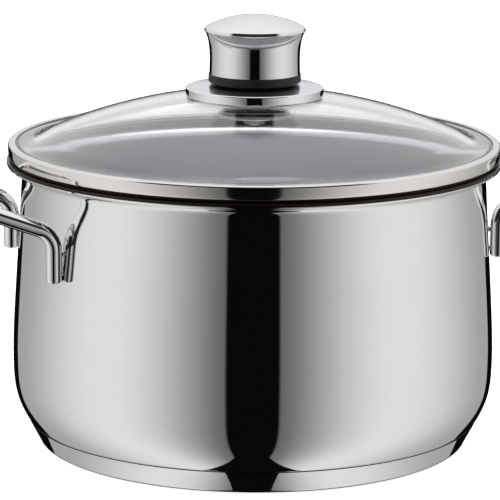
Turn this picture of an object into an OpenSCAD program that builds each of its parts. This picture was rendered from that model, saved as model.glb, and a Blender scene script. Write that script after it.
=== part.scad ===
// Tall covered pot for water bath canning: bellied steel pot with a pouring rim,
// capsule base, two bar handles, a domed glass lid with a turned knob, and a wire jar rack.
// Millimetres, +Z up, origin at the centre of the base, handles along X.

/* [Pot body] */
// Outside diameter of the neck, just below the pouring rim
neck_d = 238; // [180:1:300]
// Height of the neck above the table
neck_z = 139.7; // [110:0.1:190]
// Sheet thickness of the pot wall
wall_t = 0.9; // [0.6:0.1:1.2]
// How far the belly stands out past the neck, on the radius
belly_bulge = 5.2; // [2:0.1:9]
// Height of the widest point of the belly
belly_z = 48; // [38:1:58]
// How far the wall stands in from the neck where it enters the base capsule, on the radius
foot_inset = 2.6; // [1:0.1:6]
// Height where the wall enters the base capsule
foot_z = 12.6; // [11:0.1:16]
// Radius of the hollow curve that turns the neck outwards
rim_fillet = 4.3; // [3:0.1:6]
// Width of the flat step that the lid stands on
seat_w = 0.8; // [0.6:0.1:1.5]
// Outside radius of the curve that turns the pouring rim up again
lip_r = 2.6; // [1.8:0.1:4]

/* [Base capsule] */
// How far the base stands in from the neck at the table, on the radius
base_inset = 9; // [6:0.5:16]
// Sheet thickness of the steel base cap
cap_t = 0.9; // [0.6:0.1:1.2]
// Thickness of the aluminium core in the middle
core_t = 5.5; // [4:0.1:6.5]
// Rounding of the base cap's lower edge
cap_edge = 2; // [1:0.1:3]

/* [Handles] */
// Diameter of the handle bar
bar_d = 8; // [6:0.1:10]
// Distance between the two legs of a handle, bar centre to bar centre
leg_span = 90; // [70:1:110]
// Depth of the leg ends below the neck
leg_drop = 42.1; // [34:0.1:60]
// Straight length of each leg
leg_h = 16.5; // [14:0.1:22]
// Radius of the bend from leg to arm, on the bar's centre line
bend_r = 12; // [9:0.5:18]
// Upward slope of the arms, degrees
arm_slope = 20.7; // [5:0.1:30]
// How far the grip stands out from the legs, along the slope
grip_reach = 44; // [36:1:60]
// Radius of the two grip corners, on the bar's centre line
corner_r = 19; // [12:1:26]
// Smallest gap between the legs and the pot wall
leg_gap = 0.5; // [0.3:0.1:1.5]
// Diameter of the weld studs between leg and wall
stud_d = 4.2; // [3:0.1:5]
// Height of the lower stud above the leg's end
stud_low = 4.2; // [3.5:0.1:5]
// Distance between the two studs of a leg
stud_pitch = 10; // [6:0.1:10]

/* [Lid rim] */
// Sheet thickness of the steel rim band
band_t = 0.8; // [0.5:0.1:1]
// How far the band's side wall stands out past its skirt
band_step = 1.9; // [1.5:0.1:3]
// Height of the skirt that reaches down to the seat
skirt_h = 3.5; // [3:0.1:6]
// Height of the band's side wall
band_h = 7.5; // [6.5:0.1:10]
// Radial width of the band's top flange
band_lap = 3.8; // [2.5:0.1:5]
// Outside rounding of the band's upper edge
band_top_r = 1.4; // [1:0.1:1.8]
// Outside rounding of the band's lower edge
band_low_r = 1.2; // [0.9:0.1:1.6]

/* [Lid glass] */
// Thickness of the tempered glass
glass_t = 4; // [3:0.1:4.5]
// Radius of curvature of the dome's outside
dome_r = 270; // [220:5:420]
// Radial width of the glass's rim zone, outside the dome
glass_rim_w = 20.4; // [16:0.1:26]
// Rise of the glass across that rim zone
glass_rim_rise = 5.3; // [3:0.1:7]
// Diameter of the hole for the knob screw
glass_hole_d = 12; // [11:0.5:16]

/* [Knob] */
// Diameter of the steel rosette under the knob
rosette_d = 70.6; // [56:0.2:80]
// Height of the rosette's side wall
rosette_h = 4.6; // [3.5:0.1:7]
// Rise of the rosette's top from its edge to its middle
rosette_rise = 1.4; // [0.5:0.1:2.5]
// Sheet thickness of the rosette
rosette_t = 0.8; // [0.5:0.1:1.2]
// Diameter of the black insulating ring
ring_d = 47.3; // [42:0.1:52]
// Height of the black insulating ring's side
ring_h = 4.3; // [3:0.1:6]
// Height of the foot that holds the ring clear of the rosette
ring_foot_h = 0.9; // [0.5:0.1:2]
// Diameter of the foot
ring_foot_d = 30; // [22:0.5:36]
// Height of the steel knob shell
shell_h = 22.1; // [18:0.1:30]
// Diameter of the knob shell at its waist
waist_d = 45.6; // [38:0.1:50]
// Flare of the shell at its top, on the radius
shell_flare = 2.95; // [1:0.05:4]
// Sheet thickness of the knob shell
shell_t = 1.2; // [0.8:0.1:1.6]
// Overhang of the knob cap past the shell
cap_overhang = 0.3; // [0:0.05:1]
// Height of the knob cap's edge
cap_edge_h = 1; // [0.8:0.1:2]
// Rise of the knob cap's dome above its edge
cap_rise = 7.2; // [4:0.1:10]
// Sheet thickness of the knob cap
knob_cap_t = 1.4; // [1:0.1:2]

/* [Knob fixing] */
// Nominal diameter of the knob screw
screw_d = 6; // [5:0.5:8]
// Diameter of the screw's head
screw_head_d = 11; // [10:0.5:13]
// Height of the screw's head
screw_head_h = 3; // [2.5:0.1:4]
// Outside diameter of the threaded insert
insert_d = 9; // [8.5:0.1:11]
// Length of the threaded insert
insert_h = 11.5; // [8:0.5:14]
// Diameter of the boss that carries the insert
boss_d = 19.6; // [16:0.1:24]
// Diameter of the retaining cup
cup_d = 37.2; // [24:0.2:38]
// Width of the retaining cup's flange outside its wall
cup_flange_w = 2.8; // [1.6:0.2:5]
// Depth of the retaining cup below its flange
cup_depth = 7.9; // [5:0.1:10]
// Sheet thickness of the retaining cup
cup_t = 1.2; // [0.8:0.1:1.6]
// Diameter of the lower gasket
gasket_d = 39.6; // [30:0.2:42]
// Thickness of the lower gasket at its edge
gasket_t = 1.6; // [1:0.1:2.5]
// Thickness of the spring washer
washer_t = 0.8; // [0.6:0.1:1.4]

/* [Jar rack] */
// Wire diameter of the rack
wire_d = 3.6; // [3:0.1:5]
// Gap between the rack's outer ring and the pot's neck
rack_gap = 8; // [6:0.5:16]
// Diameter of the inner ring, on the wire's centre line
inner_ring_d = 150; // [110:1:160]
// Height of the feet
foot_h = 10; // [6:0.5:20]
// Diameter of each foot
foot_d = 9; // [7:0.5:12]
// Number of feet
foot_n = 4; // [3:1:6]
// Number of cross wires
cross_n = 9; // [5:2:9]
// Distance between cross wires
cross_pitch = 23; // [19:0.5:24]

/* [Fits] */
// Running clearance of a screw or boss in its hole, on the radius
hole_clear = 0.3; // [0.2:0.05:0.5]
// Clearance of the screw's thread in the insert, on the radius
thread_clear = 0.05; // [0.02:0.01:0.1]
// Gap between the rosette's edge and the glass
rosette_gap = 0.4; // [0.2:0.05:0.8]
// Clearance between the glass's edge and the band, taken up by the seal
seal_t = 0.8; // [0.5:0.1:1.5]
// Depth that welded wires sink into each other
weld_sink = 0.4; // [0.2:0.1:0.8]

/* [Hidden] */
$fn = 96;
STEEL = [0.80, 0.80, 0.79];
BLACK = [0.10, 0.10, 0.10];
SEAL = [0.62, 0.63, 0.62];

// Curves: each is a list of [radius, height] points.
function bez(a, b, c, d, n) = [for (i = [0:n]) let (t = i / n)
    (1 - t)^3 * a + 3 * (1 - t)^2 * t * b + 3 * (1 - t) * t^2 * c + t^3 * d];
function arc(c, r, a0, a1, n) = [for (i = [0:n]) let (a = a0 + (a1 - a0) * i / n)
    c + r * [cos(a), sin(a)]];
function rev(v) = [for (i = [len(v) - 1:-1:0]) v[i]];
function tail(v, k = 1) = [for (i = [k:len(v) - 1]) v[i]];
function unit(v) = v / norm(v);
function left_of(v) = [-v[1], v[0]];
// Moves a path sideways, to the left of its direction of travel.
function aside(v, d) = [for (i = [0:len(v) - 1])
    v[i] + d * left_of(unit(v[min(i + 1, len(v) - 1)] - v[max(i - 1, 0)]))];
function table_zr(v) = [for (p = v) [p[1], p[0]]];

// Pot, from the floor's middle along the outside to the lip.
neck_r = neck_d / 2;
belly_r = neck_r + belly_bulge;
foot_r = neck_r - foot_inset;
base_r = neck_r - base_inset;
floor_z = cap_t + core_t;
floor_r = base_r - 10;
corner_n = 10;
pot_corner = bez([floor_r, floor_z], [floor_r + 8, floor_z],
    [foot_r - 3, foot_z - 3], [foot_r, foot_z], corner_n);
pot_low = bez([foot_r, foot_z], [foot_r + 0.53 * (belly_z - foot_z) / 3, foot_z + (belly_z - foot_z) / 3],
    [belly_r, belly_z - (belly_z - foot_z) / 2], [belly_r, belly_z], 12);
pot_high = bez([belly_r, belly_z], [belly_r, belly_z + 16],
    [neck_r + 0.055 * 40, neck_z - 40], [neck_r, neck_z], 14);
pot_fillet = arc([neck_r + rim_fillet, neck_z], rim_fillet, 180, 90, 8);
lip_c = [neck_r + rim_fillet + seat_w, neck_z + rim_fillet + lip_r];
pot_lip = arc(lip_c, lip_r, -90, 0, 7);
pot_edge = arc(lip_c + [lip_r - wall_t / 2, 0], wall_t / 2, 20, 160, 5);
pot_in_floor = aside(concat([[0, floor_z]], pot_corner, tail(pot_low), tail(pot_high)), wall_t);
pot_in_fillet = arc([neck_r + rim_fillet, neck_z], rim_fillet + wall_t, 180, 90, 8);
pot_in_lip = arc(lip_c, lip_r - wall_t, -90, 0, 6);
pot_outside = concat([[0, floor_z]], pot_corner, tail(pot_low), tail(pot_high),
    tail(pot_fillet), pot_lip, pot_edge);
pot_inside = concat([for (i = [0:len(pot_in_floor) - 2]) pot_in_floor[i]],
    pot_in_fillet, pot_in_lip);
seat_z = neck_z + rim_fillet + wall_t;
seat_r = neck_r + rim_fillet;
inner_floor_z = floor_z + wall_t;
function wall_r_at(z) = lookup(z, table_zr(pot_high));

// Base capsule: the cap's inside meets the pot at two points of the pot's lower corner.
cap_low = bez([base_r - cap_edge, 0], [base_r - cap_edge * 0.2, 0],
    [base_r + cap_edge * 0.3, cap_edge * 0.4], [base_r + cap_edge * 0.5, cap_edge], 5);
cap_top = [foot_r - 0.1, foot_z - 0.6];
cap_out = concat([[0, 0]], cap_low, [cap_top]);
cap_in = concat([[0, cap_t]], [for (i = [1:len(cap_low)]) aside(cap_out, cap_t)[i]]);
meet = corner_n - 2;

// Handles.
bar_r = bar_d / 2;
leg_z = neck_z - leg_drop;
leg_top = leg_z + leg_h;
leg_x = sqrt((wall_r_at(leg_z) + leg_gap + bar_r)^2 - (leg_span / 2)^2);
bend_a = 90 - arm_slope;
arm_len = grip_reach - corner_r;

// Lid rim band: skirt on the seat, then out, up the side wall and in over the glass.
skirt_out = seat_r + seat_w;
skirt_in = skirt_out - band_t;
band_r = skirt_out + band_step;
band_z = seat_z + skirt_h;
band_top = band_z + band_h;
glass_edge_r = band_r - band_t - seal_t;
flange_z = band_top - band_t;

// Glass: a spherical dome, a curved blend and a flat flange under the band.
blend_r = glass_edge_r - glass_rim_w;
blend_z = flange_z + glass_rim_rise;
dome_c = blend_z - sqrt(dome_r^2 - blend_r^2);
dome_top = dome_c + dome_r;
blend_slope = blend_r / sqrt(dome_r^2 - blend_r^2);
flat_r = glass_edge_r - 5.2;
function dome_z(r) = dome_c + sqrt(dome_r^2 - r^2);
function under_z(r) = dome_c + sqrt((dome_r - glass_t)^2 - r^2);
hole_r = glass_hole_d / 2;
glass_dome = [for (i = [0:14]) let (r = hole_r + (blend_r - hole_r) * i / 14) [r, dome_z(r)]];
glass_blend = bez([blend_r, blend_z], [blend_r + 7, blend_z - 7 * blend_slope],
    [flat_r - 6, flange_z], [flat_r, flange_z], 7);
glass_path = concat(glass_dome, tail(glass_blend));
glass_under = [for (i = [0:len(glass_path) - 1])
    i < 14 ? [glass_path[i][0], under_z(glass_path[i][0])] : aside(glass_path, -glass_t)[i]];
// The dome is turned in short bands; what touches it takes its height from the bands.
function top_of_glass(r) = lookup(r, glass_path);
function foot_of_glass(r) = lookup(r, glass_under);

// Knob stack, from the glass upwards.
rosette_r = rosette_d / 2;
rosette_z = top_of_glass(rosette_r) + rosette_gap;
rosette_edge = rosette_z + rosette_h;
rosette_flat = ring_foot_d / 2 + 1;
rosette_top = rosette_edge + rosette_rise;
screw_r = screw_d / 2;
bore_r = screw_r + hole_clear;
ring_r = ring_d / 2;
ring_z = rosette_top + ring_foot_h;
shell_z = ring_z + ring_h;
shell_top = shell_z + shell_h;
waist_r = waist_d / 2;
shell_foot_r = waist_r + 0.45;
shell_top_r = waist_r + shell_flare;
shell_out = bez([shell_foot_r, shell_z], [waist_r + 0.1, shell_z + shell_h * 0.34],
    [waist_r - 0.1, shell_z + shell_h * 0.79], [shell_top_r, shell_top], 12);
shell_wall = aside(shell_out, shell_t);
shell_hole_r = boss_d / 2 + hole_clear;
cap_r = shell_top_r + cap_overhang;
cap_dome_r = (cap_r^2 + cap_rise^2) / (2 * cap_rise);
cap_dome_c = shell_top + cap_edge_h + cap_rise - cap_dome_r;
cap_dome = [for (i = [0:12]) let (r = (cap_r - 0.35) * (1 - i / 12))
    [r, cap_dome_c + sqrt(cap_dome_r^2 - r^2)]];
spigot_r = shell_wall[10][0] - hole_clear;

// Knob stack, from the glass downwards.
gasket_r = gasket_d / 2;
gasket_z = foot_of_glass(gasket_r) - gasket_t;
cup_r = cup_d / 2;
cup_flange_r = cup_r + cup_flange_w;
cup_floor = gasket_z - cup_depth;
washer_z = cup_floor - washer_t;
insert_z = ring_z + 2.3;
screw_tip = insert_z + insert_h - 3;

// Jar rack.
wire_r = wire_d / 2;
outer_ring_r = neck_r - wall_t - rack_gap - wire_r;
inner_ring_r = inner_ring_d / 2;
ring_wire_z = inner_floor_z + foot_h - weld_sink + wire_r;
cross_z = ring_wire_z + wire_d - weld_sink;
cross_mid = (cross_n - 1) / 2;

module spun(points) {
    rotate_extrude() polygon(points);
}

// Deep-drawn steel pot with the pouring rim.
module pot_body() {
    color(STEEL) spun(concat(pot_outside, rev(pot_inside)));
}

// Aluminium disc between the pot's floor and the steel cap.
module base_core() {
    color("silver") spun(concat(cap_in,
        [for (i = [meet:-1:0]) pot_corner[i]], [[0, floor_z]]));
}

// Steel cap of the capsule base, the surface that meets the hob.
module base_cap() {
    color(STEEL) spun(concat(cap_out, [pot_corner[meet + 1], pot_corner[meet]], rev(cap_in)));
}

// One vertical leg with a rounded lower end.
module leg_bar() {
    rotate_extrude() polygon(concat([[0, 0]], arc([bar_r - 1.2, 1.2], 1.2, -90, 0, 5),
        [[bar_r, leg_h], [0, leg_h]]));
}

// Leg and bend of one side, seen from the bend's centre. The bend is a half ring cut off
// where the arm begins.
module leg_and_bend() {
    translate([-bend_r, 0, -leg_h]) leg_bar();
    intersection() {
        rotate([90, 0, 0]) rotate_extrude(angle = 180)
            translate([bend_r, 0]) circle(r = bar_r, $fn = 48);
        rotate([90, 0, 0]) rotate([0, 0, 180 - bend_a])
            translate([-2 * bend_r, 0, -bar_d]) cube([4 * bend_r, 2 * bend_r, 2 * bar_d]);
    }
}

// Both arms and the grip, in the sloping plane: X is up from the bend's centre, Y runs inwards.
module arms_and_grip() {
    side_z = leg_span / 2;
    corner_z = leg_span / 2 - corner_r;
    for (side = [-1, 1]) {
        translate([bend_r, 0, side * side_z]) rotate([90, 0, 0])
            cylinder(r = bar_r, h = arm_len, $fn = 48);
        translate([bend_r, -arm_len, side * corner_z]) rotate([0, 90, 0])
            rotate([0, 0, side > 0 ? 180 : 270]) rotate_extrude(angle = 90)
                translate([corner_r, 0]) circle(r = bar_r, $fn = 48);
    }
    translate([bend_r, -arm_len - corner_r, -corner_z])
        cylinder(r = bar_r, h = 2 * corner_z, $fn = 48);
}

// A bar handle on the +X side: two legs, two bends, two arms and a grip with round corners.
module handle_bar() {
    for (side = [-1, 1])
        translate([leg_x + bend_r, side * leg_span / 2, leg_top]) leg_and_bend();
    translate([leg_x + bend_r, 0, leg_top]) rotate([90, 0, 0]) rotate([0, 0, 180 - bend_a])
        arms_and_grip();
}

// Weld studs that hold the legs clear of the wall, shaped to the bar and to the wall.
module handle_studs() {
    $fn = 360;
    difference() {
        for (side = [-1, 1], k = [0, 1])
            translate([leg_x, side * leg_span / 2, leg_z + stud_low + k * stud_pitch])
                rotate([0, -90, side * atan2(leg_span / 2, leg_x)])
                    cylinder(d = stud_d, h = bar_r + leg_gap + 3, $fn = 96);
        for (side = [-1, 1])
            translate([leg_x, side * leg_span / 2, leg_z]) cylinder(r = bar_r, h = leg_h);
        spun(concat([[0, belly_z]], pot_high, [[0, neck_z]]));
    }
}

module left_handle() {
    color(STEEL) mirror([1, 0, 0]) handle_bar();
}

module right_handle() {
    color(STEEL) handle_bar();
}

module left_handle_studs() {
    color(STEEL) mirror([1, 0, 0]) handle_studs();
}

module right_handle_studs() {
    color(STEEL) handle_studs();
}

// Tempered glass dome.
module lid_glass() {
    color([0.80, 0.86, 0.84, 0.45]) spun(concat(glass_path, [[glass_edge_r, flange_z],
        [glass_edge_r, flange_z - glass_t]], rev(glass_under)));
}

// Steel rim band folded round the glass's edge, with the skirt that centres the lid.
module lid_rim_band() {
    color(STEEL) spun(concat([[band_r - band_lap, band_top]],
        arc([band_r - band_top_r, band_top - band_top_r], band_top_r, 90, 0, 6),
        arc([band_r - band_low_r, band_z + band_low_r], band_low_r, 0, -90, 5),
        [[skirt_out, band_z], [skirt_out, seat_z], [skirt_in, seat_z], [skirt_in, band_z + band_t]],
        arc([band_r - band_low_r, band_z + band_low_r], band_low_r - band_t, -90, 0, 4),
        arc([band_r - band_top_r, band_top - band_top_r], band_top_r - band_t, 0, 90, 4),
        [[band_r - band_lap, band_top - band_t]]));
}

// Silicone seal between the glass's edge and the band.
module lid_rim_seal() {
    in_r = band_r - band_t;
    color(SEAL) spun(concat([[glass_edge_r, flange_z], [glass_edge_r, flange_z - glass_t],
        [skirt_in - 1.8, flange_z - glass_t], [skirt_in - 1.8, band_z + band_t + 0.6],
        [skirt_in, band_z + band_t]],
        arc([band_r - band_low_r, band_z + band_low_r], band_low_r - band_t, -90, 0, 4),
        arc([band_r - band_top_r, band_top - band_top_r], band_top_r - band_t, 0, 90, 4)));
}

// Polished domed cap of the knob.
module knob_cap() {
    inner_r = cap_dome_r - knob_cap_t;
    inner_edge = sqrt(inner_r^2 - (shell_top - cap_dome_c)^2);
    lid_in = min(spigot_r - 1, inner_edge);
    color(STEEL) spun(concat([[cap_r - 0.35, shell_top]],
        [[cap_r, shell_top + 0.35], [cap_r, shell_top + cap_edge_h - 0.25]], cap_dome,
        [[0, cap_dome_c + inner_r]],
        [for (i = [1:8]) let (r = lid_in * i / 8) [r, cap_dome_c + sqrt(inner_r^2 - r^2)]],
        [[spigot_r - 1, shell_top - 1.6], [spigot_r, shell_top - 1.6], [spigot_r, shell_top]]));
}

// Waisted steel shell of the knob, with a floor that the boss snaps through.
module knob_shell() {
    color(STEEL) spun(concat(shell_out,
        [for (i = [12:-1:1]) [shell_wall[i][0], min(shell_wall[i][1], shell_top)]],
        [[shell_wall[0][0], shell_z + shell_t], [shell_hole_r, shell_z + shell_t],
        [shell_hole_r, shell_z]]));
}

// Black insulating ring and boss, one moulding.
module knob_insulator() {
    snap_z = shell_z + shell_t + 0.2;
    top_z = insert_z + insert_h;
    color(BLACK) spun([[bore_r, rosette_top], [ring_foot_d / 2, rosette_top],
        [ring_foot_d / 2, ring_z], [ring_r - 0.7, ring_z], [ring_r, ring_z + 0.7],
        [ring_r, shell_z], [boss_d / 2, shell_z], [boss_d / 2, snap_z],
        [boss_d / 2 + 1.1, snap_z], [boss_d / 2 + 1.1, snap_z + 0.6],
        [boss_d / 2 - 0.6, snap_z + 2.2], [boss_d / 2 - 0.6, top_z],
        [insert_d / 2, top_z], [insert_d / 2, insert_z], [bore_r, insert_z]]);
}

// Threaded steel insert in the boss.
module knob_insert() {
    color("goldenrod") translate([0, 0, insert_z]) difference() {
        cylinder(d = insert_d, h = insert_h);
        translate([0, 0, -1]) cylinder(r = screw_r + thread_clear, h = insert_h + 2);
    }
}

// Pressed steel rosette that covers the glass round the screw.
module rosette() {
    edge_c = [rosette_r - 0.8, rosette_edge - 0.8];
    top = bez([rosette_r - 0.8, rosette_edge], [rosette_r - 8, rosette_edge + rosette_rise * 0.6],
        [rosette_flat + 6, rosette_top], [rosette_flat, rosette_top], 6);
    under = aside(top, rosette_t);
    color(STEEL) spun(concat([[rosette_r, rosette_z]], arc(edge_c, 0.8, 0, 90, 4), tail(top),
        [[bore_r, rosette_top], [bore_r, rosette_top - rosette_t]], rev(tail(under)),
        [[rosette_r - rosette_t, rosette_edge - rosette_t], [rosette_r - rosette_t, rosette_z]]));
}

// Black cushion between rosette and glass.
module upper_gasket() {
    out_r = rosette_r - rosette_t;
    top = bez([rosette_r - 0.8, rosette_edge], [rosette_r - 8, rosette_edge + rosette_rise * 0.6],
        [rosette_flat + 6, rosette_top], [rosette_flat, rosette_top], 6);
    under = aside(top, rosette_t);
    color(BLACK) spun(concat([[bore_r, top_of_glass(hole_r)]],
        [for (p = glass_path) if (p[0] < out_r - 0.3) p],
        [[out_r - 0.3, top_of_glass(out_r - 0.3)], [out_r, top_of_glass(out_r) + 0.5],
        [out_r, rosette_edge - rosette_t]],
        tail(under), [[bore_r, rosette_top - rosette_t]]));
}

// Black gasket under the glass, with a collar that lines the hole.
module lower_gasket() {
    collar_r = hole_r - 0.2;
    collar_z = top_of_glass(hole_r) - 0.2;
    color(BLACK) spun(concat([[bore_r, gasket_z], [gasket_r, gasket_z],
        [gasket_r, foot_of_glass(gasket_r)]],
        rev([for (p = glass_under) if (p[0] < gasket_r) p]),
        [[collar_r, foot_of_glass(hole_r)], [collar_r, collar_z], [bore_r, collar_z]]));
}

// Pressed steel cup that the screw pulls up against the glass.
module retaining_cup() {
    color(STEEL) spun([[bore_r, cup_floor], [cup_r - 1, cup_floor], [cup_r, cup_floor + 1],
        [cup_r, gasket_z - cup_t], [cup_flange_r, gasket_z - cup_t], [cup_flange_r, gasket_z],
        [cup_r - cup_t, gasket_z], [cup_r - cup_t, cup_floor + cup_t], [bore_r, cup_floor + cup_t]]);
}

// Spring washer under the screw's head.
module spring_washer() {
    color("gray") translate([0, 0, washer_z]) difference() {
        cylinder(d = screw_head_d + 0.6, h = washer_t);
        translate([0, 0, -1]) cylinder(r = screw_r + 0.15, h = washer_t + 2);
    }
}

// Pan-head screw with a cross recess, from below up into the insert.
module knob_screw() {
    color("gray") difference() {
        union() {
            translate([0, 0, washer_z]) cylinder(r = screw_r, h = screw_tip - washer_z);
            translate([0, 0, washer_z - screw_head_h])
                rotate_extrude() polygon(concat([[0, 0], [screw_head_d / 2 - 1, 0],
                    [screw_head_d / 2, 1], [screw_head_d / 2, screw_head_h], [0, screw_head_h]]));
        }
        for (a = [0, 90]) rotate([0, 0, a])
            translate([-2.5, -0.5, washer_z - screw_head_h - 1]) cube([5, 1, 2.6]);
    }
}

// Outer ring of the jar rack.
module rack_outer_ring() {
    color(STEEL) translate([0, 0, ring_wire_z]) rotate_extrude()
        translate([outer_ring_r, 0]) circle(r = wire_r, $fn = 32);
}

// Inner ring, which carries the feet.
module rack_inner_ring() {
    color(STEEL) translate([0, 0, ring_wire_z]) rotate_extrude()
        translate([inner_ring_r, 0]) circle(r = wire_r, $fn = 32);
}

// Parallel wires that the jars stand on, welded across both rings.
module rack_cross_wires() {
    color(STEEL) for (i = [0:cross_n - 1]) {
        y = (i - cross_mid) * cross_pitch;
        half = sqrt(outer_ring_r^2 - y^2);
        translate([-half, y, cross_z]) rotate([0, 90, 0])
            cylinder(r = wire_r, h = 2 * half, $fn = 32);
    }
}

// Feet that hold the jars off the hot floor of the pot.
module rack_feet() {
    color(STEEL) for (i = [0:foot_n - 1]) rotate([0, 0, 360 / foot_n * (i + 0.5)])
        translate([inner_ring_r, 0, inner_floor_z]) cylinder(d = foot_d, h = foot_h, $fn = 32);
}

pot_body();
base_core();
base_cap();
left_handle();
right_handle();
left_handle_studs();
right_handle_studs();
lid_glass();
lid_rim_band();
lid_rim_seal();
knob_cap();
knob_shell();
knob_insulator();
knob_insert();
rosette();
upper_gasket();
lower_gasket();
retaining_cup();
spring_washer();
knob_screw();
rack_outer_ring();
rack_inner_ring();
rack_cross_wires();
rack_feet();
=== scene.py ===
"""Visual model of a covered canning pot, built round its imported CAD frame.

Sizes are written in millimetres, as on a workshop drawing, and meshes are made in metres.
A profile is a list of (radius, height) points that is turned about the upright axis.
"""
import sys

import logging
import math
from dataclasses import dataclass
from enum import Enum
from functools import cache
from typing import Any, Sequence

import bmesh
import bpy
from mathutils import Matrix, Vector


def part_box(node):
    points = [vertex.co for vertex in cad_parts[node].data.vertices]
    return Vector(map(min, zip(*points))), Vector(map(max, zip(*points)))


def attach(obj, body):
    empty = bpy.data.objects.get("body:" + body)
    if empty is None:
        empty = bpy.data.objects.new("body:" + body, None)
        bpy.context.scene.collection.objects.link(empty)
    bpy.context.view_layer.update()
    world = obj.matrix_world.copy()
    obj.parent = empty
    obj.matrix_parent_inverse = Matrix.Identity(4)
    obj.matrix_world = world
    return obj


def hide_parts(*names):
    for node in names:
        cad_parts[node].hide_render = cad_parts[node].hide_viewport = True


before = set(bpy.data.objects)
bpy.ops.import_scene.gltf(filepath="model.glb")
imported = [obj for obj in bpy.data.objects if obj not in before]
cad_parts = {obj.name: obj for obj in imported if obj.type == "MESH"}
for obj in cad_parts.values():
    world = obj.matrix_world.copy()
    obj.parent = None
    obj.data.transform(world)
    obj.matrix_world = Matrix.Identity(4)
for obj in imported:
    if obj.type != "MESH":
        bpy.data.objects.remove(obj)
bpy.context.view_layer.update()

LOG = logging.getLogger("canning_pot")
MM = 0.001
Point = tuple[float, float]
Path = list[Point]


class Body(Enum):
    """The moving bodies of the frame."""

    POT = "pot"
    LID = "lid"
    RACK = "jar_rack"


class Grain(Enum):
    """The direction that a surface's fine marks run in."""

    EVEN = "even"
    TURNED = "turned"
    DRAWN = "drawn"


@dataclass(frozen=True)
class Extent:
    """How far a CAD node reaches in millimetres: its radius, lower end and upper end."""

    radius: float
    low: float
    high: float


@cache
def extent(node: str) -> Extent:
    """Reads how far a CAD node reaches from the frame, to the nearest micrometre."""
    low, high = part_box(node)
    return Extent(*[round(value / MM, 3) for value in (high[0], low[2], high[2])])


# ---------------------------------------------------------------- plane curves


def bezier(a: Point, b: Point, c: Point, d: Point, steps: int) -> Path:
    """Points along a cubic curve.

    Args:
        a, b, c, d: The curve's four control points.
        steps: Number of equal steps.

    Returns:
        steps + 1 points from a to d.
    """
    path = []
    for i in range(steps + 1):
        t = i / steps
        w = ((1 - t) ** 3, 3 * (1 - t) ** 2 * t, 3 * (1 - t) * t * t, t ** 3)
        path.append(tuple(sum(k * p[j] for k, p in zip(w, (a, b, c, d))) for j in (0, 1)))
    return path


def arc(centre: Point, radius: float, start: float, end: float, steps: int) -> Path:
    """Points along a circular arc.

    Args:
        centre: The arc's centre.
        radius: Its radius.
        start, end: Its first and last angle in degrees.
        steps: Number of equal steps.

    Returns:
        steps + 1 points.
    """
    turns = [math.radians(start + (end - start) * i / steps) for i in range(steps + 1)]
    return [(centre[0] + radius * math.cos(t), centre[1] + radius * math.sin(t)) for t in turns]


def aside(path: Path, distance: float) -> Path:
    """Moves a path sideways, to the left of its direction of travel.

    Args:
        path: The points to move.
        distance: How far, negative for the right.

    Returns:
        The moved points.
    """
    moved = []
    for i, (r, z) in enumerate(path):
        r0, z0 = path[max(i - 1, 0)]
        r1, z1 = path[min(i + 1, len(path) - 1)]
        length = math.hypot(r1 - r0, z1 - z0)
        moved.append((r - distance * (z1 - z0) / length, z + distance * (r1 - r0) / length))
    return moved


def height_at(path: Path, radius: float) -> float:
    """Height of a path that runs outwards, at a radius, by straight interpolation."""
    for (r0, z0), (r1, z1) in zip(path, path[1:]):
        if min(r0, r1) <= radius <= max(r0, r1) and r0 != r1:
            return z0 + (z1 - z0) * (radius - r0) / (r1 - r0)
    return path[-1][1]


def eased(corners: Sequence[tuple[float, float, float]], steps: int = 4) -> Path:
    """Rounds the corners of a line.

    Args:
        corners: (radius, height, rounding) for each corner. Rounding 0 keeps a corner sharp.
        steps: Steps in each rounding.

    Returns:
        The line's points. Its two ends are never rounded.
    """
    path = []
    last = len(corners) - 1
    for i, (r, z, ease) in enumerate(corners):
        if ease <= 0 or i in (0, last):
            path.append((r, z))
            continue
        here = Vector((r, z))
        back = (Vector(corners[i - 1][:2]) - here).normalized()
        ahead = (Vector(corners[i + 1][:2]) - here).normalized()
        half = back.angle(ahead) / 2
        reach = ease / math.tan(half)
        start, end = here + back * reach, here + ahead * reach
        for k in range(steps + 1):
            t = k / steps
            point = start * (1 - t) ** 2 + here * 2 * t * (1 - t) + end * t * t
            path.append((point.x, point.y))
    return path


# ---------------------------------------------------------------- node helper


def add(tree: bpy.types.NodeTree, kind: str, inputs: dict[Any, Any] | None = None,
        **settings: Any) -> bpy.types.Node:
    """Adds a node with its settings and links.

    Args:
        tree: The tree to add to.
        kind: The node's type.
        inputs: A value, or a socket to link from, for each input by name or number.
        **settings: The node's own properties.

    Returns:
        The new node.
    """
    made = tree.nodes.new(kind)
    for name, value in settings.items():
        setattr(made, name, value)
    for key, value in (inputs or {}).items():
        if isinstance(value, bpy.types.NodeSocket):
            tree.links.new(value, made.inputs[key])
        else:
            made.inputs[key].default_value = value
    return made


def linear(colour: str, alpha: float = 1.0) -> tuple[float, float, float, float]:
    """Turns an sRGB hex colour such as "#c8c8c4" to linear values."""
    parts = [int(colour[i:i + 2], 16) / 255 for i in (1, 3, 5)]
    return (*[c / 12.92 if c <= 0.04045 else ((c + 0.055) / 1.055) ** 2.4 for c in parts], alpha)


# ---------------------------------------------------------------- finishes


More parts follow.
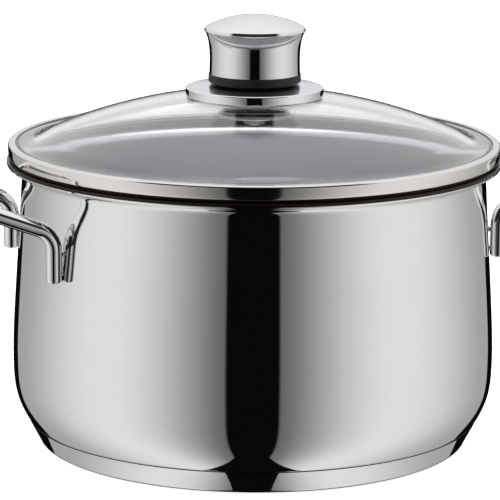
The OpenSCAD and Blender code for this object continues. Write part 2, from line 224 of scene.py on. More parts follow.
@dataclass(frozen=True)
class Finish:
    """A surface finish with fine marks in its colour, roughness and relief.

    Pitches are the spacing of the marks in millimetres, and depth is their relief.
    """

    name: str
    colour: str
    shade: str
    metallic: float
    roughness: float
    spread: float
    grain: Grain
    pitch: float
    depth: float
    blotch: float = 30.0
    specular: float = 0.5

    def marks_at(self, tree: bpy.types.NodeTree) -> bpy.types.NodeSocket:
        """Coordinates in millimetres, squeezed along the direction that the marks run in.

        Args:
            tree: The material's node tree.

        Returns:
            The coordinate socket for the fine marks.
        """
        place = add(tree, "ShaderNodeTexCoord").outputs["Object"]
        scale = 1 / (MM * self.pitch)
        if self.grain is Grain.EVEN:
            return add(tree, "ShaderNodeMapping", {"Vector": place, "Scale": (scale,) * 3}).outputs[0]
        if self.grain is Grain.DRAWN:
            squeeze = (scale * 0.06, scale, scale)
            return add(tree, "ShaderNodeMapping", {"Vector": place, "Scale": squeeze}).outputs[0]
        parts = add(tree, "ShaderNodeSeparateXYZ", {0: place}).outputs
        flat = add(tree, "ShaderNodeCombineXYZ", {0: parts[0], 1: parts[1]}).outputs[0]
        radius = add(tree, "ShaderNodeVectorMath", {0: flat}, operation="LENGTH").outputs["Value"]
        unit = add(tree, "ShaderNodeVectorMath", {0: flat}, operation="NORMALIZE").outputs[0]
        lines = add(tree, "ShaderNodeCombineXYZ", {0: radius, 1: parts[2]}).outputs[0]
        fine = add(tree, "ShaderNodeVectorMath", {0: lines, "Scale": scale}, operation="SCALE")
        slow = add(tree, "ShaderNodeVectorMath", {0: unit, "Scale": 1.5}, operation="SCALE")
        return add(tree, "ShaderNodeVectorMath", {0: fine.outputs[0], 1: slow.outputs[0]},
                   operation="ADD").outputs[0]

    def make(self) -> bpy.types.Material:
        """Builds the material once and returns it each time after."""
        known = bpy.data.materials.get(self.name)
        if known:
            return known
        material = bpy.data.materials.new(self.name)
        material.use_nodes = True
        tree = material.node_tree
        shader = tree.nodes["Principled BSDF"]
        marks = add(tree, "ShaderNodeTexNoise", {
            "Vector": self.marks_at(tree), "Scale": 1.0, "Detail": 3.0, "Roughness": 0.6})
        place = add(tree, "ShaderNodeTexCoord").outputs["Object"]
        wide = add(tree, "ShaderNodeTexNoise", {
            "Vector": place, "Scale": 1 / (MM * self.blotch), "Detail": 2.0})
        both = add(tree, "ShaderNodeMath", {0: marks.outputs[0], 1: wide.outputs[0]},
                   operation="MULTIPLY")
        tint = add(tree, "ShaderNodeMix", {
            "Factor": both.outputs[0], 6: linear(self.colour), 7: linear(self.shade)},
            data_type="RGBA")
        rough = add(tree, "ShaderNodeMapRange", {
            "Value": marks.outputs[0], 1: 0.3, 2: 0.7,
            3: max(self.roughness - self.spread, 0.0), 4: self.roughness + self.spread})
        relief = add(tree, "ShaderNodeBump", {
            "Height": marks.outputs[0], "Strength": 1.0, "Distance": self.depth * MM})
        for key, socket in (("Base Color", tint.outputs[2]), ("Roughness", rough.outputs[0]),
                            ("Normal", relief.outputs[0])):
            tree.links.new(socket, shader.inputs[key])
        shader.inputs["Metallic"].default_value = self.metallic
        shader.inputs["Specular IOR Level"].default_value = self.specular
        return material


@dataclass(frozen=True)
class GlassFinish(Finish):
    """Tempered soda-lime glass: clear, faintly green, with the slight waves of its quench."""

    ior: float = 1.52

    def make(self) -> bpy.types.Material:
        """Builds the glass material once and returns it each time after."""
        known = bpy.data.materials.get(self.name)
        if known:
            return known
        material = super().make()
        shader = material.node_tree.nodes["Principled BSDF"]
        shader.inputs["IOR"].default_value = self.ior
        shader.inputs["Transmission Weight"].default_value = 1.0
        return material


# 18/10 stainless steel, buffed to a mirror: sharp reflections with a trace of buffing haze.
MIRROR_STEEL = Finish("mirror_polished_stainless_steel", "#eeeeee", "#e6e6e6", 1.0, 0.03, 0.015,
                      Grain.TURNED, 1.4, 0.0001)
# The same steel brushed round on a lathe, as on the inside of a drawn pot.
SATIN_STEEL = Finish("circular_brushed_stainless_steel", "#dddde2", "#d4d4da", 1.0, 0.4, 0.05,
                     Grain.TURNED, 0.7, 0.0025)
# Fine turned lines of a lathe-finished knob, drawn twice as coarse as real so that they show.
LATHE_STEEL = Finish("fine_turned_stainless_steel", "#ececec", "#d6d6d6", 1.0, 0.07, 0.03,
                     Grain.TURNED, 0.42, 0.0018)
# Buffed bar and cap steel: a mirror with very slight orange peel from hand polishing.
BUFFED_STEEL = Finish("hand_buffed_stainless_steel", "#eeeeee", "#e4e4e4", 1.0, 0.05, 0.02,
                      Grain.EVEN, 2.2, 0.0006)
# Fine rings turned into the rosette's top, which spread its reflections sideways.
ROSETTE_STEEL = Finish("ring_turned_rosette_steel", "#eceaec", "#e2e1e4", 1.0, 0.17, 0.04,
                       Grain.TURNED, 0.5, 0.0018)
# Cold-rolled steel of the base cap, turned in rings and dulled by the hob.
BASE_STEEL = Finish("ring_turned_base_steel", "#d8d7d4", "#c2c1bd", 1.0, 0.2, 0.08,
                    Grain.TURNED, 1.1, 0.006)
# Rolled band strip with a fine lengthwise brushing that softens its reflections.
BAND_STEEL = Finish("fine_brushed_band_steel", "#ebe8e4", "#e0dcd6", 1.0, 0.075, 0.03,
                    Grain.TURNED, 0.5, 0.0006)
# Painted shade: dark brown steel on the band's skirt and the lip's upright face stands in for the
# shadow in the narrow gap under the band.
GAP_SHADE_STEEL = Finish("steel_in_painted_gap_shade", "#3d352f", "#2d2723", 1.0, 0.3, 0.06,
                     Grain.TURNED, 0.6, 0.004)
# Bare 1050 aluminium, satin from the blanking press.
CORE_ALUMINIUM = Finish("blanked_aluminium", "#d2d4d6", "#bfc1c4", 1.0, 0.32, 0.08,
                        Grain.TURNED, 0.6, 0.006)
# Pressed 0.8 mm steel sheet, bright but not buffed.
PRESSED_STEEL = Finish("bright_pressed_stainless_steel", "#d9d9d7", "#c9c9c6", 1.0, 0.13, 0.05,
                       Grain.TURNED, 0.8, 0.003)
# Zinc-plated screw steel: cooler and duller than the stainless pieces round it.
SCREW_STEEL = Finish("zinc_plated_screw_steel", "#c6c9cc", "#a9adb1", 1.0, 0.26, 0.08,
                     Grain.EVEN, 0.5, 0.006)
# Free-cutting brass of the threaded insert.
INSERT_BRASS = Finish("turned_brass", "#c9a85c", "#b08f49", 1.0, 0.22, 0.06,
                      Grain.TURNED, 0.3, 0.004)
# Stainless wire, drawn through dies and electropolished: bright with lines along the wire.
WIRE_STEEL = Finish("electropolished_drawn_wire", "#dddddb", "#c8c8c5", 1.0, 0.14, 0.06,
                    Grain.DRAWN, 0.5, 0.004)
# Phenolic moulding: near-black, a satin sheen with a fine mould texture.
PHENOLIC = Finish("satin_moulded_phenolic", "#19191a", "#232324", 0.0, 0.38, 0.08,
                  Grain.EVEN, 0.35, 0.012, specular=0.3)
# Black silicone rubber: matt, with a faint bloom.
GASKET_RUBBER = Finish("black_silicone_rubber", "#161616", "#232322", 0.0, 0.55, 0.08,
                       Grain.EVEN, 0.5, 0.02, specular=0.4)
# Pale grey silicone of the rim seal: soft, half matt.
SEAL_SILICONE = Finish("grey_silicone_seal", "#a9a9a6", "#b8b8b5", 0.0, 0.42, 0.08,
                       Grain.EVEN, 0.7, 0.02, specular=0.4)
TEMPERED_GLASS = GlassFinish("tempered_soda_lime_glass", "#fcfdfd", "#fafcfc", 0.0, 0.0, 0.0,
                             Grain.EVEN, 40.0, 0.0003, blotch=60.0)


# ---------------------------------------------------------------- mesh helpers


@dataclass
class Run:
    """A stretch of a turned profile with one finish."""

    path: Path
    finish: Finish


def new_piece(name: str, mesh: bpy.types.Mesh) -> bpy.types.Object:
    """Links a mesh into the scene as an object at the origin."""
    piece = bpy.data.objects.new(name, mesh)
    bpy.context.scene.collection.objects.link(piece)
    return piece


def smooth(mesh: bpy.types.Mesh, sharp_from: float = 32.0) -> None:
    """Shades a mesh smooth, except at edges sharper than an angle in degrees."""
    mesh.shade_smooth()
    mesh.set_sharp_from_angle(angle=math.radians(sharp_from))


def turn(name: str, runs: Sequence[Run], sides: int = 192) -> bpy.types.Object:
    """Turns a closed profile about the upright axis into a solid piece.

    Args:
        name: The piece's name.
        runs: The profile in order, each stretch with its finish. The last point joins the first.
        sides: Number of steps round.

    Returns:
        The piece, a closed mesh in metres with its normals outwards.
    """
    finishes = list(dict.fromkeys(run.finish for run in runs))
    points: list[tuple[Point, int]] = []
    for run in runs:
        for point in run.path:
            if points and math.dist(point, points[-1][0]) < 1e-4:
                points[-1] = (points[-1][0], finishes.index(run.finish))
            else:
                points.append((point, finishes.index(run.finish)))
    if math.dist(points[0][0], points[-1][0]) < 1e-4:
        points.pop()
    shape = bmesh.new()
    circle = [(math.cos(math.tau * k / sides), math.sin(math.tau * k / sides))
              for k in range(sides)]
    rings = []
    for (r, z), _ in points:
        if abs(r) < 1e-6:
            rings.append([shape.verts.new((0.0, 0.0, z * MM))])
        else:
            rings.append([shape.verts.new((r * c * MM, r * s * MM, z * MM)) for c, s in circle])
    for i, (_, index) in enumerate(points):
        low, high = rings[i], rings[(i + 1) % len(rings)]
        for k in range(sides):
            after = (k + 1) % sides
            corners = [low[k % len(low)], low[after % len(low)],
                       high[after % len(high)], high[k % len(high)]]
            corners = list(dict.fromkeys(corners))
            if len(corners) > 2:
                shape.faces.new(corners).material_index = index
    bmesh.ops.recalc_face_normals(shape, faces=shape.faces)
    mesh = bpy.data.meshes.new(name)
    shape.to_mesh(mesh)
    shape.free()
    for finish in finishes:
        mesh.materials.append(finish.make())
    smooth(mesh)
    return new_piece(name, mesh)


def seated(piece: bpy.types.Object, body: Body, slot: str, *nodes: str) -> bpy.types.Object:
    """Tells the frame what a finished piece rides on and hides the nodes it stands for.

    Args:
        piece: The finished piece.
        body: The body that it moves with.
        slot: A material slot's name, which is not used.
        *nodes: The CAD nodes that it replaces.

    Returns:
        The same piece.
    """
    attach(piece, body.value)
    if nodes:
        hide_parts(*nodes)
    LOG.info("%s on %s: %d faces", piece.name, body.value, len(piece.data.polygons))
    return piece


def dressed(node: str, finish: Finish) -> None:
    """Gives a CAD node that stays in view its finish."""
    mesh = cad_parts[node].data
    mesh.materials.clear()
    mesh.materials.append(finish.make())
    LOG.info("%s kept from the frame in %s", node, finish.name)


# ---------------------------------------------------------------- geometry nodes


class NodeShop:
    """A Geometry Nodes tree under construction, with named inputs."""

    def __init__(self, name: str, finish: Finish) -> None:
        """Starts a tree whose result wears a finish."""
        self.name = name
        self.finish = finish
        self.tree = bpy.data.node_groups.new(name, "GeometryNodeTree")
        self.values: dict[str, Any] = {}
        self.socket("Geometry", "NodeSocketGeometry")
        self.tree.interface.new_socket("Geometry", in_out="OUTPUT",
                                       socket_type="NodeSocketGeometry")
        self.entry = add(self.tree, "NodeGroupInput")

    def socket(self, name: str, kind: str, value: Any = None) -> str:
        """Adds a named input with its value, and returns the socket's identifier."""
        made = self.tree.interface.new_socket(name, in_out="INPUT", socket_type=kind)
        if value is not None:
            self.values[made.identifier] = value
        return made.identifier

    def size(self, name: str, value: float) -> bpy.types.NodeSocket:
        """Adds a named size in metres and returns the socket that gives it."""
        self.socket(name, "NodeSocketFloat", value)
        return self.entry.outputs[name]

    def count(self, name: str, value: int) -> bpy.types.NodeSocket:
        """Adds a named whole number and returns the socket that gives it."""
        self.socket(name, "NodeSocketInt", value)
        return self.entry.outputs[name]

    def part(self, name: str, value: bpy.types.Object) -> bpy.types.NodeSocket:
        """Adds a named part to repeat and returns its geometry."""
        self.socket(name, "NodeSocketObject", value)
        info = add(self.tree, "GeometryNodeObjectInfo", {"Object": self.entry.outputs[name]})
        return info.outputs["Geometry"]

    def add(self, kind: str, inputs: dict[Any, Any] | None = None,
            **settings: Any) -> bpy.types.Node:
        """Adds a node to this tree, as the plain add function does."""
        return add(self.tree, kind, inputs, **settings)

    def run(self, result: bpy.types.NodeSocket, source: bpy.types.Mesh | None = None,
            sharp_from: float = 32.0) -> bpy.types.Object:
        """Closes the tree, evaluates it and returns its result as a plain mesh piece.

        Args:
            result: The geometry socket to realize and dress.
            source: The mesh that the modifier works on, or None for an empty one.
            sharp_from: Angle in degrees from which an edge is shaded sharp.

        Returns:
            A piece named after the tree, without modifiers.
        """
        self.socket("Finish", "NodeSocketMaterial", self.finish.make())
        real = self.add("GeometryNodeRealizeInstances", {"Geometry": result})
        worn = self.add("GeometryNodeSetMaterial", {
            "Geometry": real.outputs[0], "Material": self.entry.outputs["Finish"]})
        self.add("NodeGroupOutput", {"Geometry": worn.outputs[0]})
        holder = new_piece(self.name + "_source", source or bpy.data.meshes.new(self.name))
        modifier = holder.modifiers.new("build", "NODES")
        modifier.node_group = self.tree
        for identifier, value in self.values.items():
            modifier[identifier] = value
        graph = bpy.context.evaluated_depsgraph_get()
        mesh = bpy.data.meshes.new_from_object(holder.evaluated_get(graph), depsgraph=graph)
        holder.modifiers.remove(modifier)
        bpy.data.objects.remove(holder)
        smooth(mesh, sharp_from)
        return new_piece(self.name, mesh)


def swept(name: str, line: Sequence[Vector], girth: Sequence[float], finish: Finish,
          sides: int = 40) -> bpy.types.Object:
    """Sweeps a round section along a line.

    Args:
        name: The piece's name.
        line: Points of the centre line in metres.
        girth: The section's radius in metres at each point.
        finish: What the piece wears.
        sides: Number of steps round the section.

    Returns:
        The piece, closed at its ends.
    """
    source = bpy.data.meshes.new(name + "_line")
    source.from_pydata([tuple(p) for p in line], [(i, i + 1) for i in range(len(line) - 1)], [])
    source.attributes.new("girth", "FLOAT", "POINT").data.foreach_set("value", list(girth))
    shop = NodeShop(name, finish)
    count = shop.count("Section steps", sides)
    curve = shop.add("GeometryNodeMeshToCurve", {"Mesh": shop.entry.outputs["Geometry"]})
    radius = shop.add("GeometryNodeInputNamedAttribute", {"Name": "girth"}, data_type="FLOAT")
    sized = shop.add("GeometryNodeSetCurveRadius", {
        "Curve": curve.outputs[0], "Radius": radius.outputs["Attribute"]})
    ring = shop.add("GeometryNodeCurvePrimitiveCircle", {"Resolution": count, "Radius": 1.0})
    tube = shop.add("GeometryNodeCurveToMesh", {
        "Curve": sized.outputs[0], "Profile Curve": ring.outputs[0], "Fill Caps": True})
    if "Scale" in tube.inputs:
        shop.tree.links.new(radius.outputs["Attribute"], tube.inputs["Scale"])
    return shop.run(tube.outputs[0], source)


def circled(name: str, radius: float, height: float, wire: float, finish: Finish,
            steps: int = 160) -> bpy.types.Object:
    """Bends a wire into a closed level ring.

    Args:
        name: The piece's name.
        radius: Radius of the wire's centre line in millimetres.
        height: Height of the centre line in millimetres.
        wire: Radius of the wire in millimetres.
        finish: What the ring wears.
        steps: Steps round the ring.

    Returns:
        The ring as a closed piece.
    """
    shop = NodeShop(name, finish)
    reach, thick = shop.size("Ring radius", radius * MM), shop.size("Wire radius", wire * MM)
    level, count = shop.size("Height", height * MM), shop.count("Steps", steps)
    line = shop.add("GeometryNodeCurvePrimitiveCircle", {"Resolution": count, "Radius": reach})
    section = shop.add("GeometryNodeCurvePrimitiveCircle", {"Resolution": 20, "Radius": thick})
    tube = shop.add("GeometryNodeCurveToMesh", {
        "Curve": line.outputs[0], "Profile Curve": section.outputs[0]})
    lift = shop.add("ShaderNodeCombineXYZ", {2: level})
    placed = shop.add("GeometryNodeTransform", {
        "Geometry": tube.outputs[0], "Translation": lift.outputs[0]})
    return shop.run(placed.outputs[0])


def repeated(name: str, part: bpy.types.Object, places: Sequence[Vector],
             reaches: Sequence[float], finish: Finish, radial: bool = True) -> bpy.types.Object:
    """Repeats a small part at a list of places.

    Args:
        name: The piece's name.
        part: The part, made round the origin. It is removed afterwards.
        places: Where each copy goes, in metres.
        reaches: How much each copy is stretched along its own X.
        finish: What the copies wear.
        radial: True where each copy's X points away from the upright axis.

    Returns:
        One piece that holds every copy.
    """
    source = bpy.data.meshes.new(name + "_places")
    source.from_pydata([tuple(p) for p in places], [], [])
    source.attributes.new("reach", "FLOAT", "POINT").data.foreach_set("value", list(reaches))
    shop = NodeShop(name, finish)
    shape = shop.part("Part", part)
    points = shop.add("GeometryNodeMeshToPoints", {"Mesh": shop.entry.outputs["Geometry"]})
    spot = shop.add("ShaderNodeSeparateXYZ", {0: shop.add("GeometryNodeInputPosition").outputs[0]})
    angle = shop.add("ShaderNodeMath", {0: spot.outputs[1], 1: spot.outputs[0]},
                     operation="ARCTAN2")
    facing = shop.add("ShaderNodeCombineXYZ", {2: angle.outputs[0]} if radial else {})
    turned = shop.add("FunctionNodeEulerToRotation", {0: facing.outputs[0]})
    reach = shop.add("GeometryNodeInputNamedAttribute", {"Name": "reach"}, data_type="FLOAT")
    scale = shop.add("ShaderNodeCombineXYZ", {0: reach.outputs["Attribute"], 1: 1.0, 2: 1.0})
    copies = shop.add("GeometryNodeInstanceOnPoints", {
        "Points": points.outputs[0], "Instance": shape,
        "Rotation": turned.outputs[0], "Scale": scale.outputs[0]})
    piece = shop.run(copies.outputs[0], source)
    bpy.data.objects.remove(part)
    return piece


# ---------------------------------------------------------------- the pot


@dataclass
class PotShell:
    """Deep-drawn steel pot: flat floor, full belly, narrower neck and a rolled pouring rim."""

    body: Extent = extent("pot_body")
    cap: Extent = extent("base_cap")
    band: Extent = extent("lid_rim_band")
    wall: float = 0.9
    belly_bulge: float = 5.2
    belly_z: float = 48.0
    foot_inset: float = 2.6
    foot_rise: float = 0.6
    foot_slope: float = 0.62
    rim_fillet: float = 4.3
    seat_w: float = 0.8
    lip_r: float = 2.6
    bead_r: float = 1.5
    bead_ledge: float = 0.35
    bead_ease: float = 0.3
    floor_r: float = 100.0

    @property
    def neck_r(self) -> float:
        """Outside radius of the neck, inside the lip, the seat and the fillet."""
        return self.body.radius - self.lip_r - self.seat_w - self.rim_fillet

    @property
    def neck_z(self) -> float:
        """Height of the neck, a fillet and a wall below the seat that the band stands on."""
        return self.band.low - self.rim_fillet - self.wall

    @property
    def floor_z(self) -> float:
        """Height of the pot's outside floor."""
        return self.body.low

    @property
    def foot_z(self) -> float:
        """Height where the wall turns in to the floor, just above the base cap."""
        return self.cap.high + self.foot_rise

    @property
    def foot_r(self) -> float:
        """Radius where the wall turns in to the floor."""
        return self.neck_r - self.foot_inset

    @property
    def seat_z(self) -> float:
        """Height of the seat that the lid rests on."""
        return self.neck_z + self.rim_fillet + self.wall

    @property
    def seat_r(self) -> float:
        """Radius of the seat."""
        return self.neck_r + self.rim_fillet

    @property
    def corner(self) -> Path:
        """The outside of the floor's rounded corner."""
        return bezier((self.floor_r, self.floor_z), (self.floor_r + 8, self.floor_z),
                      (self.foot_r - 3, self.foot_z - 3), (self.foot_r, self.foot_z), 20)

    @property
    def upper_wall(self) -> Path:
        """The outside of the wall from the belly to the neck."""
        belly_r = self.neck_r + self.belly_bulge
        return bezier((belly_r, self.belly_z), (belly_r, self.belly_z + 16),
                      (self.neck_r + 2.2, self.neck_z - 40), (self.neck_r, self.neck_z), 40)

    def wall_radius(self, height: float) -> float:
        """Outside radius of the wall at a height above the belly."""
        return height_at([(z, r) for r, z in self.upper_wall], height)

    def build(self) -> bpy.types.Object:
        """Turns the pot: polished outside, lip face in painted shade, brushed rim and inside."""
        belly_r = self.neck_r + self.belly_bulge
        third = (self.belly_z - self.foot_z) / 3
        low = bezier((self.foot_r, self.foot_z),
                     (self.foot_r + self.foot_slope * third, self.foot_z + third),
                     (belly_r, self.belly_z - 1.5 * third), (belly_r, self.belly_z), 36)
        fillet_c = (self.neck_r + self.rim_fillet, self.neck_z)
        lip_c = (self.seat_r + self.seat_w, self.neck_z + self.rim_fillet + self.lip_r)
        skin = [(0.0, self.floor_z), *self.corner, *low[1:], *self.upper_wall[1:]]
        bead_out, bead_top = lip_c[0] + self.lip_r, lip_c[1] + self.wall / 2
        bead_in = lip_c[0] + self.bead_ledge
        fillet_top = self.neck_z + self.rim_fillet
        outside = [*skin, *arc(fillet_c, self.rim_fillet, 180, 90, 12)[1:],
                   *arc((bead_out - self.bead_r, fillet_top + self.bead_r), self.bead_r, -90, 0, 10)]
        lip = eased([(bead_out, fillet_top + self.bead_r, 0), (bead_out, bead_top, self.bead_ease),
                     (bead_in, bead_top, self.bead_ease), (bead_in, self.seat_z, 0)])
        inside = aside(skin, self.wall)[:-1]
        rim = [*arc(fillet_c, self.rim_fillet + self.wall, 180, 90, 20), (bead_in, self.seat_z)]
        # The lip's upright face is painted dark brown as shade cast by the band above it.
        piece = turn("polished_pot_shell", [
            Run(outside, MIRROR_STEEL), Run(lip, GAP_SHADE_STEEL), Run(rim[::-1], SATIN_STEEL),
            Run(inside[::-1], SATIN_STEEL)], sides=256)
        return seated(piece, Body.POT, "pot_steel", "pot_body")


@dataclass
class CapsuleBase:
    """Steel cap over an aluminium disc under the pot's floor."""

    pot: PotShell
    base_r: float = 110.0
    edge: float = 2.0
    sheet: float = 0.9

    def build(self) -> bpy.types.Object:
        """Turns the cap, with its shallow rings underneath, and dresses the hidden disc."""
        top = (self.pot.cap.radius, self.pot.cap.high)
        low = bezier((self.base_r - self.edge, 0.0), (self.base_r - self.edge * 0.2, 0.0),
                     (self.base_r + self.edge * 0.3, self.edge * 0.4),
                     (self.base_r + self.edge * 0.5, self.edge), 10)
        rings: Path = [(0.0, 0.0)]
        for radius in (14.0, 38.0, 62.0, 86.0):
            rings += [(radius, 0.0), (radius + 0.5, 0.25), (radius + 1.5, 0.25), (radius + 2.0, 0.0)]
        shell = [(0.0, 0.0), *low, top]
        inner = aside(shell, self.sheet)[1:-1]
        meet = self.pot.corner[16:19]
        piece = turn("capsule_base_cap", [
            Run(rings, BASE_STEEL), Run([*low, top, meet[-1]], MIRROR_STEEL),
            Run([meet[0], *inner[::-1], (0.0, self.sheet)], BASE_STEEL)], sides=256)
        dressed("base_core", CORE_ALUMINIUM)
        return seated(piece, Body.POT, "base_steel", "base_cap")


@dataclass
class SideHandle:
    """Bent bar handle on one side, with the weld studs that hold it off the wall."""

    pot: PotShell
    name: str
    side: int
    bar_r: float = 4.0
    leg_gap: float = 0.12
    leg_span: float = 90.0
    leg_h: float = 16.5
    bend_r: float = 12.0
    slope: float = 20.7
    grip_reach: float = 44.4
    corner_r: float = 19.0
    stud_r: float = 1.4
    stud_heights: tuple[float, float] = (4.2, 14.2)
    stud_root: float = 1.2
    stud_sink: float = 0.3

    @property
    def leg_z(self) -> float:
        """Height of the legs' lower ends."""
        return extent(self.name + "_handle").low

    @property
    def leg_x(self) -> float:
        """Distance of the legs from the middle plane."""
        reach = self.pot.wall_radius(self.leg_z) + self.leg_gap + self.bar_r
        return math.sqrt(reach ** 2 - (self.leg_span / 2) ** 2)

    def half_line(self) -> tuple[list[Vector], list[float]]:
        """Centre line and radius from one leg's end to the middle of the grip, on +X.

        Returns:
            Points in millimetres, and the bar's radius at each.
        """
        half = self.leg_span / 2
        ease = 1.2
        line, girth = [], []
        for turn_by in (0, 20, 40, 60, 80, 90):
            t = math.radians(turn_by)
            line.append(Vector((self.leg_x, half, self.leg_z + ease * (1 - math.cos(t)))))
            girth.append(self.bar_r - ease * (1 - math.sin(t)))
        centre = Vector((self.leg_x + self.bend_r, half, self.leg_z + self.leg_h))
        for k in range(13):
            line.append(Vector((self.leg_x, half, self.leg_z + ease + (self.leg_h - ease)
                                * (k + 1) / 14)))
        for k in range(21):
            t = math.radians(180 - (90 - self.slope) * k / 20)
            line.append(centre + self.bend_r * Vector((math.cos(t), 0, math.sin(t))))
        tilt = math.radians(self.slope)
        along = Vector((math.cos(tilt), 0, math.sin(tilt)))
        arm_end = line[-1] + along * (self.grip_reach - self.corner_r)
        line += [line[-1].lerp(arm_end, k / 8) for k in range(1, 8)]
        for k in range(25):
            t = math.radians(90 * k / 24)
            line.append(arm_end + self.corner_r * (along * math.sin(t)
                                                   + Vector((0, math.cos(t) - 1, 0))))
        corner_y = line[-1].y
        line += [Vector((line[-1].x, corner_y * (1 - k / 8), line[-1].z)) for k in range(1, 9)]
        girth += [self.bar_r] * (len(line) - len(girth))
        return line, girth

    def bar(self) -> bpy.types.Object:
        """Sweeps the round bar along both halves of the handle."""
        line, girth = self.half_line()
        whole = line + [Vector((p.x, -p.y, p.z)) for p in line[-2::-1]]
        widths = girth + girth[-2::-1]
        points = [Vector((p.x * self.side, p.y, p.z)) * MM for p in whole]
        return swept(self.name + "_bar", points, [w * MM for w in widths], BUFFED_STEEL)

    def studs(self) -> bpy.types.Object:
        """Repeats one flared weld stud at the four places where the legs are held."""
        deep = 1.0
        profile = [(0.0, 0.0), (self.stud_r, 0.0), (self.stud_r, 0.6), (self.stud_r + 0.05, 0.8),
                   (self.stud_r + 0.2, 0.9), (self.stud_r + 0.4, deep), (0.0, deep)]
        stud = turn(self.name + "_stud", [Run(profile, BUFFED_STEEL)], sides=24)
        stud.data.transform(Matrix.Rotation(math.radians(-90), 4, "Y"))
        places, reaches = [], []
        inner = self.bar_r - self.stud_root
        for y in (-self.leg_span / 2, self.leg_span / 2):
            for rise in self.stud_heights:
                z = self.leg_z + rise
                radial = math.hypot(self.leg_x, y)
                start = (radial - inner) / radial
                places.append(Vector((self.leg_x * start * self.side, y * start, z)) * MM)
                reaches.append(radial - inner - self.pot.wall_radius(z)
                               + self.stud_sink)
        return repeated(self.name + "_weld_studs", stud, places, reaches, BUFFED_STEEL)

    def build(self) -> None:
        """Makes the bar and its studs for one side."""
        node = self.name + "_handle"
        seated(self.bar(), Body.POT, "handle_steel", node)
        seated(self.studs(), Body.POT, "handle_steel", node + "_studs")


# ---------------------------------------------------------------- the lid


